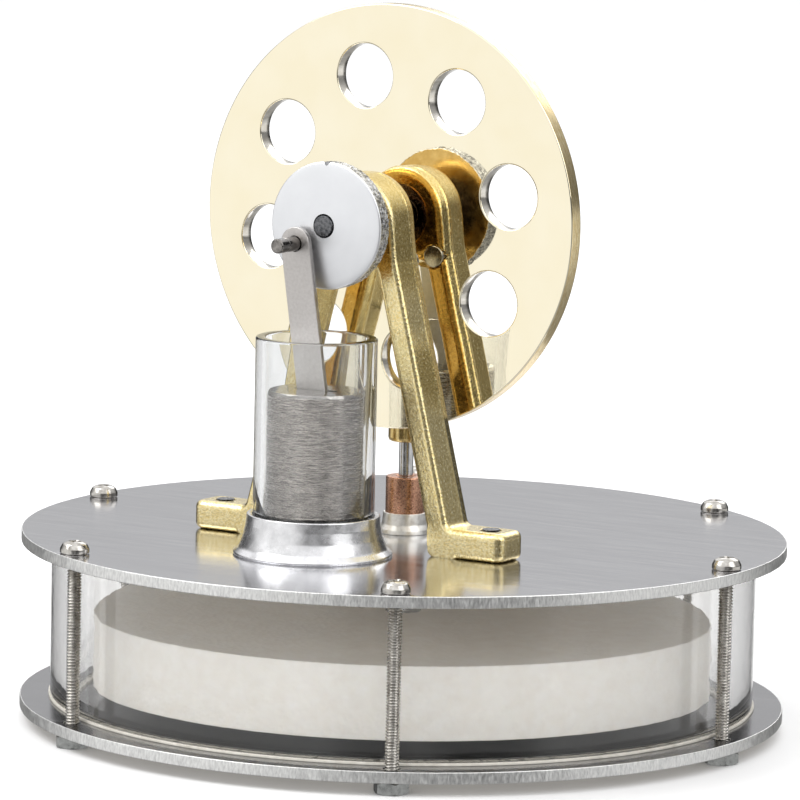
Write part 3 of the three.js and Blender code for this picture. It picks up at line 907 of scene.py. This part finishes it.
# ---- power cylinder
SEAT_BORE = 5.6
CUP_R = 7.8
GLASS_IN = 6.5
GLASS_OUT = 7.75
PISTON_R = 6.18
PISTON_WALL = 0.9
HOLLOW_TOP = 14.0
GROOVE_DEPTH = 0.035
GROOVE_WIDTH = 0.1
GROOVE_PITCH = 0.15
ROD_SLOT = 1.15
ROD_SLOT_HALF_X = 3.1
ROD_SLOT_DEPTH = 2.4
low, high, mid = span("cylinder_seat")
cup_top = high.z


def ragged_top(r, a, h):
    """The cup's upper edge is a little out of round."""
    if h < cup_top - 1.0:
        return 0.0
    return 0.07 * noise.noise(Vector((5 * math.cos(a), 5 * math.sin(a), 2.0)))


glass_low, glass_high, _ = span("glass_cylinder")
profile = [
    (SEAT_BORE, low.z),
    (10.1, low.z, 0.1),
    (10.2, low.z + 0.3, 0.25),
    (9.4, low.z + 1.0, 0.9),
    (8.9, low.z + 2.4, 2.0),
    (8.6, low.z + 3.9, 2.0),
    (8.5, high.z, 0.2),
    (CUP_R, high.z - 0.05, 0.1),
    (CUP_R, glass_low.z),
    (SEAT_BORE, glass_low.z),
]
seat = lathe(
    "cylinder_cup", profile, seat_metal, (0, mid.y), segments=160, closed=True, wobble=ragged_top,
)
mount(seat, "base", "seat_aluminium", "cylinder_seat")

profile = tube(GLASS_IN, GLASS_OUT, glass_low.z, glass_high.z, (0.15, 0.15, 0.3, 0.3))
glass = lathe("glass_tube", profile, cylinder_glass, (0, cylinder_y), segments=192, closed=True)
mount(glass, "base", "cylinder_glass", "glass_cylinder")

low, high, _ = span("piston")
hollow = deck + HOLLOW_TOP
hollow_r = PISTON_R - PISTON_WALL
profile = [
    (0, hollow),
    (hollow_r, hollow, 0.2),
    (hollow_r, low.z),
    (PISTON_R - 0.3, low.z),
    (PISTON_R, low.z + 0.3),
]
level = low.z + 0.5
while level < high.z - 0.75:
    groove = GROOVE_DEPTH * chance.random()
    profile.append((PISTON_R, level))
    profile.append((PISTON_R - groove, level + GROOVE_WIDTH / 2))
    profile.append((PISTON_R, level + GROOVE_WIDTH))
    level += GROOVE_PITCH
profile += [(PISTON_R, high.z - 0.45), (PISTON_R - 0.22, high.z, 0.12), (4.2, high.z), (0, high.z)]
trunk = lathe("piston_trunk", profile, piston_metal, (0, cylinder_y), segments=160)
slot_floor = wrist_mid.z - ROD_SLOT_DEPTH
carve(
    trunk,
    slot_cutter(ROD_SLOT_HALF_X, cylinder_y, ROD_SLOT / 2, slot_floor, high.z + 3, piston_metal),
)
front = wrist_low.y - 0.1
wrist_spot = (0, wrist_mid.z)
carve(trunk, lathe("cutter", bar(WRIST_R + 0.04, front, front + 12), pin_steel, wrist_spot, "Y", 32))
finishes(trunk, piston_metal, piston_top)
for face in trunk.data.polygons:
    face.material_index = int(face.center.z > (high.z - 0.5) * MM and face.normal.z > 0.2)
mount(trunk, "piston", "piston_metal", "piston")

profile = bar(WRIST_R, wrist_low.y, wrist_high.y, 0.1)
pin = lathe("wrist_rivet", profile, pin_steel, wrist_spot, "Y", 32)
mount(pin, "piston", "pin_steel", "wrist_pin")


# ---- bracket, as one rounded casting
bracket_low, bracket_high, bracket_mid = span("bracket")
axle_h = shaft_z - deck
foot_x = foot_spots[1].x
foot_end = bracket_high.x
half_depth = (bracket_high.y - bracket_low.y) / 2
dowel_mid = span("bracket_dowel_right")[2]
BOSS_R = 6.2
BEARING_BORE = 4.04
LEG_FOOT_X = 14.675
LEG_LEAN = 0.2533
LEG_HALF = 1.527
LEG_INTO_BOSS = 1
LEG_TOP_BLEND = 3
BOSS_BLEND = 2.2
EASED = 0.75
SEAM_Y = 1.1
SEAM_H = 0.09
SEAM_W = 0.2
DRAFT_FRONT = 0.16
DRAFT_BACK = 0.3
FOOT_START = 12.5
FOOT_CORNER = 1.5
FOOT_TOP = 3.75
FOOT_EASED = 0.9
FOOT_BLEND = 0.8
FOOT_BORE = 1.3
DOWEL_BORE = 1.43
GRID_STEP = 0.18
BACK_FACING = 0.5


def soft_min(a, b, k):
    """The smaller of two distances, blended where they are within k of each other."""
    h = np.clip(0.5 + 0.5 * (b - a) / k, 0, 1)
    return b * (1 - h) + a * h - k * h * (1 - h)


def rounded_slab(flat, off, half, radius):
    """Distance to a flat shape thickened to +-half, with its edges rounded."""
    u, v = flat + radius, np.abs(off) - (half - radius)
    return np.minimum(np.maximum(u, v), 0) + np.hypot(np.maximum(u, 0), np.maximum(v, 0)) - radius


def bracket_distance(x, y, z):
    """Signed distance in millimetres to the casting, which is alike left and right."""
    side = np.abs(x)
    h = z - deck
    up = h - axle_h
    along_y = y - bracket_mid.y
    lean = 1 / math.hypot(1, LEG_LEAN)
    leg = np.abs(side - (LEG_FOOT_X - LEG_LEAN * h)) * lean - LEG_HALF
    leg = -soft_min(-leg, -(up + LEG_INTO_BOSS), LEG_TOP_BLEND)
    flat = soft_min(np.hypot(side, up) - BOSS_R, leg, BOSS_BLEND)

    off_seam = along_y - SEAM_Y
    front_draft = -DRAFT_FRONT * off_seam / (half_depth + SEAM_Y)
    back_draft = DRAFT_BACK * off_seam / (half_depth - SEAM_Y)
    draft = np.where(off_seam < 0, front_draft, back_draft)
    body = rounded_slab(flat + draft - DRAFT_FRONT, along_y, half_depth, EASED)
    body = body - SEAM_H * np.exp(-((off_seam / SEAM_W) ** 2))

    corner_x = side - (foot_end - FOOT_CORNER)
    corner_y = np.abs(along_y) - (half_depth - FOOT_CORNER)
    outside = np.hypot(np.maximum(corner_x, 0), np.maximum(corner_y, 0))
    outline = outside + np.minimum(np.maximum(corner_x, corner_y), 0) - FOOT_CORNER
    outline = np.maximum(outline, FOOT_START - side)
    foot = rounded_slab(outline, h - FOOT_TOP / 2, FOOT_TOP / 2, FOOT_EASED)

    shape = soft_min(body, foot, FOOT_BLEND)
    shape = np.maximum(shape, -h + 0.01)
    shape = np.maximum(shape, np.abs(along_y) - half_depth)
    shape = np.maximum(shape, BEARING_BORE - np.hypot(side, up))
    dowel_hole = DOWEL_BORE - np.hypot(side - dowel_mid.x, z - dowel_mid.z)
    shape = np.maximum(shape, np.minimum(dowel_hole, along_y))
    return np.maximum(shape, FOOT_BORE - np.hypot(side - foot_x, along_y))


PULLS = 3
PROBE = 0.01


def pull(distance, points, step):
    """How far each point has to move to lie on the surface, at most half a step."""
    x, y, z = points.T
    slope = np.stack(
        [
            distance(x + PROBE, y, z) - distance(x - PROBE, y, z),
            distance(x, y + PROBE, z) - distance(x, y - PROBE, z),
            distance(x, y, z + PROBE) - distance(x, y, z - PROBE),
        ],
        1,
    ) / (2 * PROBE)
    here = distance(x, y, z)
    move = here[:, None] * slope / np.maximum((slope**2).sum(1), 0.2)[:, None]
    return np.clip(move, -step / 2, step / 2)


def surface_of(distance, low, high, step):
    """Vertices and faces of the zero surface of a distance function, by surface nets."""
    axes = [np.arange(low[i], high[i] + step, step) for i in range(3)]
    grid = np.meshgrid(*axes, indexing="ij")
    field = distance(*grid)
    cells = tuple(n - 1 for n in field.shape)
    total = np.zeros((*cells, 3))
    hits = np.zeros(cells)
    corners = [(i, j, k) for i in (0, 1) for j in (0, 1) for k in (0, 1)]

    def corner(c):
        return field[c[0] : c[0] + cells[0], c[1] : c[1] + cells[1], c[2] : c[2] + cells[2]]

    for a in corners:
        for axis in range(3):
            if a[axis]:
                continue
            b = list(a)
            b[axis] = 1
            fa, fb = corner(a), corner(b)
            crossing = (fa < 0) != (fb < 0)
            t = np.where(crossing, fa / np.where(fa == fb, 1, fa - fb), 0)
            for i in range(3):
                total[..., i] += np.where(crossing, a[i] + (t if i == axis else 0), 0)
            hits += crossing
    found = hits > 0
    number = np.full(cells, -1)
    number[found] = np.arange(found.sum())
    where = np.argwhere(found)
    points = (where + total[found] / hits[found][:, None]) * step + np.array([a[0] for a in axes])
    faces = []
    for axis in range(3):
        u, v = (axis + 1) % 3, (axis + 2) % 3
        first = [slice(None)] * 3
        second = [slice(None)] * 3
        first[axis], second[axis] = slice(0, -1), slice(1, None)
        fa, fb = field[tuple(first)] < 0, field[tuple(second)] < 0
        for flip, mask in ((False, fa & ~fb), (True, ~fa & fb)):
            spots = np.argwhere(mask)
            spots = spots[(spots[:, u] > 0) & (spots[:, v] > 0)]
            spots = spots[(spots[:, u] < cells[u]) & (spots[:, v] < cells[v])]
            quad = []
            for du, dv in ((1, 1), (0, 1), (0, 0), (1, 0)):
                cell = spots.copy()
                cell[:, u] -= du
                cell[:, v] -= dv
                quad.append(number[cell[:, 0], cell[:, 1], cell[:, 2]])
            quad = np.stack(quad[::-1] if flip else quad, 1)
            faces += quad.tolist()
    for _ in range(PULLS):
        points = points - pull(distance, points, step)
    return points, faces


margin = Vector((0.5, 0.5, 0.5))
points, quads = surface_of(
    bracket_distance, bracket_low - margin, bracket_high + margin, GRID_STEP
)
points = np.clip(points, np.array(bracket_low), np.array(bracket_high)).tolist()
casting = make_object("bracket_casting", points, quads, [casting_brass, casting_painted_back_shade], 40)
# faces turned to the back, towards the flywheel, take the darker amber copy of the brass as painted
# shade and painted bounce light
for face in casting.data.polygons:
    face.material_index = int(face.normal.y > BACK_FACING)
mount(casting, "base", "casting_brass", "bracket")

DOWEL_R = 1.4
FOOT_SCREW_R = 1.25
SUNK_HEAD_R = 2.15
SUNK_HEAD_H = 0.9
for side in ("left", "right"):
    low, high, mid = span(f"bracket_dowel_{side}")
    profile = bar(DOWEL_R, low.y, high.y, 0.15)
    dowel = lathe(f"dowel_{side}", profile, pin_steel, (mid.x, mid.z), "Y", 48)
    mount(dowel, "base", "pin_steel", f"bracket_dowel_{side}")
    low, high, mid = span(f"foot_screw_{side}")
    neck = low.z + SUNK_HEAD_H
    tip = thread(
        f"foot_thread_{side}", mid.x, mid.y, neck, high.z, FOOT_SCREW_R, 0.3, dark_steel
    )
    mount(tip, "base", "dark_steel", f"foot_screw_{side}")
    profile = [(0, low.z), (SUNK_HEAD_R, low.z), (FOOT_SCREW_R - 0.05, neck), (0, neck)]
    sunk = lathe(f"foot_head_{side}", profile, dark_steel, (mid.x, mid.y), segments=48)
    mount(sunk, "base", "dark_steel", f"foot_screw_{side}")

BEARING_IN, BEARING_OUT = 1.58, 4.0
SHIELD_IN, SHIELD_OUT, SHIELD_DEPTH = 2.3, 3.3, 0.2
bearing_face = (
    (BEARING_IN, 0, 0.08),
    (SHIELD_IN - 0.1, 0, 0.1),
    (SHIELD_IN, SHIELD_DEPTH, 0),
    (SHIELD_OUT, SHIELD_DEPTH, 0),
    (SHIELD_OUT + 0.1, 0, 0.1),
    (BEARING_OUT, 0, 0.12),
)
# the bearings' near-black steel is painted shade
for name in ("bearing_front", "bearing_back"):
    low, high, mid = span(name)
    profile = [(r, low.y + depth, fillet) for r, depth, fillet in bearing_face]
    profile += [(r, high.y - depth, fillet) for r, depth, fillet in reversed(bearing_face)]
    race = lathe(name + "_race", profile, bearing_steel, (mid.x, mid.z), "Y", 96, closed=True)
    mount(race, "base", "bearing_steel", name)


# ---- shaft line
SHAFT_R = 1.5
SHAFT_HOLE_R = 1.54
SPACER_R = 2.3
GRUB_R = 0.95
GRUB_HOLE_R = 0.98
shaft_spot = (0, shaft_z)
profile = [
    (0, shaft_low.y),
    (SHAFT_R - 0.2, shaft_low.y, 0.08),
    (SHAFT_R - 0.12, shaft_low.y + 0.35),
    (SHAFT_R, shaft_low.y + 0.5),
    (SHAFT_R, shaft_high.y, 0.2),
    (0, shaft_high.y),
]
axle = lathe("shaft_rod", profile, dark_steel, shaft_spot, "Y", 96)
mount(axle, "crankshaft", "dark_steel", "shaft")

DISC_R = 8.14
DISC_DOME = 0.007
DISC_EDGE = 1.0
RIM_ROWS = 16
disc_low, disc_high, _ = span("crank_disc")
rim_length = disc_high.y - disc_low.y - DISC_EDGE - 0.25


def off_axis(point):
    """Distance in millimetres from the shaft's axis to a point of a mesh."""
    return math.hypot(point.x, point.z - shaft_z * MM) / MM


def turned_rim(r, a, h):
    """Coarse tool marks on the rim, always inwards, behind the smooth front edge."""
    if r < 7.9 or h < disc_low.y + 0.95:
        return 0.0
    p = Vector((3 * r * math.cos(a), 3 * r * math.sin(a), 6 * h))
    return -0.1 + 0.1 * noise.noise(p)


dome = (SHAFT_HOLE_R, 2.5, 3.5, 4.5, 5.5, 6.3, 7.0, 7.4)
profile = [(r, disc_low.y + DISC_DOME * r * r) for r in dome]
profile.append((DISC_R - 0.01, disc_low.y + 0.5, 0.5))
for k in range(RIM_ROWS + 1):
    profile.append((DISC_R, disc_low.y + DISC_EDGE + rim_length * k / RIM_ROWS))
profile += [(DISC_R - 0.04, disc_high.y, 0.2), (SHAFT_HOLE_R, disc_high.y)]
wheel = lathe(
    "crank_wheel", profile, disc_face, shaft_spot, "Y", 288, closed=True, wobble=turned_rim
)
low, high, mid = span("grub_screw")
profile = bar(GRUB_HOLE_R, shaft_z + 4, shaft_z + 10)
carve(wheel, lathe("cutter", profile, disc_face, (0, mid.y), segments=48))
finishes(wheel, disc_face, disc_rim, disc_back_painted_reflection)
# the disc's back face takes the gold colour as a painted reflection of the flywheel
for face in wheel.data.polygons:
    if face.normal.y > 0.8:
        face.material_index = 2
    elif off_axis(face.center) > 8.0 and face.center.y > (disc_low.y + 0.75) * MM:
        face.material_index = 1
    else:
        face.material_index = 0
mount(wheel, "crankshaft", "disc_aluminium", "crank_disc")
grub = thread("grub_thread", mid.x, mid.y, low.z, high.z, GRUB_R, 0.1, dark_steel)
mount(grub, "crankshaft", "dark_steel", "grub_screw")

low, high, _ = span("shaft_spacer")
profile = tube(SHAFT_HOLE_R, SPACER_R, low.y, high.y, (0, 0.15, 0.15, 0))
spacer = lathe("spacer_ring", profile, pin_steel, shaft_spot, "Y", 72, closed=True)
mount(spacer, "crankshaft", "pin_steel", "shaft_spacer")

low, high, _ = span("flywheel_hub")
profile = tube(SHAFT_HOLE_R, high.x - 0.01, low.y, high.y, (0, 0.2, 0, 0))
# the hub's dark brass is painted shade
hub = lathe("wheel_hub", profile, hub_brass_painted_shade, shaft_spot, "Y", 96, closed=True)
mount(hub, "crankshaft", "casting_brass", "flywheel_hub")

HOLES = 8
HOLE_R = 4.15
HOLE_CIRCLE = 18.4
PHASE = math.radians(11.9)
WHEEL_EDGE = 0.22
low, high, _ = span("flywheel")
wheel_r = high.x
holes = [circle(*shaft_spot, SHAFT_HOLE_R, 48)]
for k in range(HOLES):
    a = PHASE + k * 2 * math.pi / HOLES
    x, z = HOLE_CIRCLE * math.cos(a), HOLE_CIRCLE * math.sin(a)
    holes.append(circle(x, shaft_z + z, HOLE_R, 128))
outline = circle(*shaft_spot, wheel_r, 480)
flywheel = pierced(
    "flywheel_disc", outline, holes, low.y, high.y, wheel_brass, "XZ", WHEEL_EDGE
)
finishes(flywheel, wheel_brass, wheel_rim, wheel_bore)
for face in flywheel.data.polygons:
    if abs(face.normal.y) < 0.3:
        face.material_index = 1 if off_axis(face.center) > wheel_r - 0.4 else 2
mount(flywheel, "crankshaft", "wheel_brass", "flywheel")


# ---- floor, light, camera
def paper_material():
    """Matte white paper with a hardly visible mottle."""
    mat, tree, shader = node_material("floor_paper")
    value = noise_value(tree, coordinates(tree, (0.01, 0.01, 0.01)), 1.0, 2.0)
    dark, light = (0.9108, 0.9108, 0.9108), (0.92, 0.92, 0.92)
    link(tree, two_tone(tree, value, dark, light), shader.inputs["Base Color"])
    shader.inputs["Roughness"].default_value = 0.6
    return mat


bpy.ops.mesh.primitive_plane_add(size=24, location=(0, 0, 0))
floor = bpy.context.object
floor.name = "floor"
floor.data.materials.append(paper_material())
floor.visible_glossy = False

world = bpy.data.worlds.new("studio")
bpy.context.scene.world = world
world.use_nodes = True
tree = world.node_tree
sky = tree.nodes["Background"]
coords = tree.nodes.new("ShaderNodeTexCoord")
split = tree.nodes.new("ShaderNodeSeparateXYZ")
link(tree, coords.outputs["Generated"], split.inputs["Vector"])
ramp = tree.nodes.new("ShaderNodeValToRGB")
SKY_LEVELS = ((0.0, 0.34), (0.10, 0.38), (0.22, 0.52), (0.45, 0.92), (1.0, 1.0))
SKY_BLUE = 1.01
SKY_STRENGTH = 1.36
while len(ramp.color_ramp.elements) < len(SKY_LEVELS):
    ramp.color_ramp.elements.new(0.5)
for element, (place, level) in zip(ramp.color_ramp.elements, SKY_LEVELS):
    element.position = place
    element.color = (level, level, level * SKY_BLUE, 1)
link(tree, split.outputs["Z"], ramp.inputs["Fac"])


def toward(direction, low, high, both_ways=False):
    """0 away from a direction of the studio, rising smoothly to 1 towards it."""
    dot = tree.nodes.new("ShaderNodeVectorMath")
    dot.operation = "DOT_PRODUCT"
    dot.inputs[1].default_value = Vector(direction).normalized()
    link(tree, coords.outputs["Generated"], dot.inputs[0])
    value = dot.outputs["Value"]
    if both_ways:
        size = tree.nodes.new("ShaderNodeMath")
        size.operation = "ABSOLUTE"
        link(tree, value, size.inputs[0])
        value = size.outputs["Value"]
    rise = tree.nodes.new("ShaderNodeMapRange")
    rise.interpolation_type = "SMOOTHSTEP"
    rise.inputs["From Min"].default_value = low
    rise.inputs["From Max"].default_value = high
    link(tree, value, rise.inputs["Value"])
    return rise.outputs["Result"]


def panel(under, amount, level, blend="MULTIPLY"):
    """The studio's walls under, darkened by a factor level, or repainted to it with MIX."""
    mix = tree.nodes.new("ShaderNodeMix")
    mix.data_type = "RGBA"
    mix.blend_type = blend
    link(tree, amount, mix.inputs["Factor"])
    link(tree, under, mix.inputs["A"])
    mix.inputs["B"].default_value = (level, level, level, 1)
    return mix.outputs["Result"]


CAMERA_RIGHT = (0.856, 0.517, 0)
DOWN = (0, 0, -1)
walls = ramp.outputs["Color"]
# dim sides, left and right of the camera's view
walls = panel(walls, toward(CAMERA_RIGHT, 0.35, 0.95, both_ways=True), 0.45)
# the table, which metal mirrors instead of the floor, and the lit card in front on the left
walls = panel(walls, toward(DOWN, -0.03, 0.03), 0.72, "MIX")
walls = panel(walls, toward((-0.514, -0.857, 0), 0.50, 0.85), 0.76, "MIX")
# the table's shade close to the object, the opening around the camera, and the one beside it
walls = panel(walls, toward(DOWN, 0.17, 0.45), 0.4)
walls = panel(walls, toward((0.513, -0.849, 0.1), 0.82, 0.97), 0.62)
walls = panel(walls, toward((0.39, -0.92, 0.0), 0.95, 0.985), 0.4)
# three dark flags: front right, back left and back
walls = panel(walls, toward((0.86, -0.51, 0), 0.90, 0.975), 0.15)
walls = panel(walls, toward((-0.9, 0.43, -0.1), 0.88, 0.95), 0.12)
walls = panel(walls, toward((0.08, 0.99, -0.05), 0.90, 0.95), 0.12)
link(tree, walls, sky.inputs["Color"])
sky.inputs["Strength"].default_value = SKY_STRENGTH


def softbox(name, place, target, size, watts):
    """A rectangular area lamp turned to its target."""
    data = bpy.data.lights.new(name, "AREA")
    data.shape = "RECTANGLE"
    data.size, data.size_y = size
    data.energy = watts
    obj = bpy.data.objects.new(name, data)
    bpy.context.scene.collection.objects.link(obj)
    obj.location = place
    obj.rotation_mode = "QUATERNION"
    obj.rotation_quaternion = (Vector(target) - Vector(place)).to_track_quat("-Z", "Y")
    return obj


ENGINE = (0, 0, 0.05)
CHAMBER = (0, 0, 0.02)
softbox("key", (-0.45, -0.35, 0.75), ENGINE, (0.6, 0.6), 3.5)
softbox("fill", (0.7, -0.1, 0.45), ENGINE, (0.5, 0.6), 1.5)
softbox("back", (-0.1, 0.75, 0.6), ENGINE, (0.8, 0.4), 1.5)
low_front = softbox("low_front", (0.25, -0.95, 0.22), CHAMBER, (1.2, 0.35), 2.85)
low_front.visible_glossy = False

CAMERA_PLACE = Vector((0.36821, -0.60937, 0.1388))
CAMERA_AIM = Vector((-0.00083, -0.0005, 0.04225))
CAMERA_ROLL = math.radians(1.229)
CAMERA_LENS = 248.2
CAMERA_SENSOR = 36
camera_data = bpy.data.cameras.new("camera")
camera_data.lens = CAMERA_LENS
camera_data.sensor_width = CAMERA_SENSOR
camera_data.clip_start, camera_data.clip_end = 0.05, 50
camera = bpy.data.objects.new("camera", camera_data)
bpy.context.scene.collection.objects.link(camera)
camera.location = CAMERA_PLACE
camera.rotation_mode = "QUATERNION"
ahead = (CAMERA_AIM - CAMERA_PLACE).to_track_quat("-Z", "Y")
camera.rotation_quaternion = ahead @ Matrix.Rotation(CAMERA_ROLL, 4, "Z").to_quaternion()
bpy.context.scene.camera = camera
bpy.context.scene.view_settings.view_transform = "Standard"
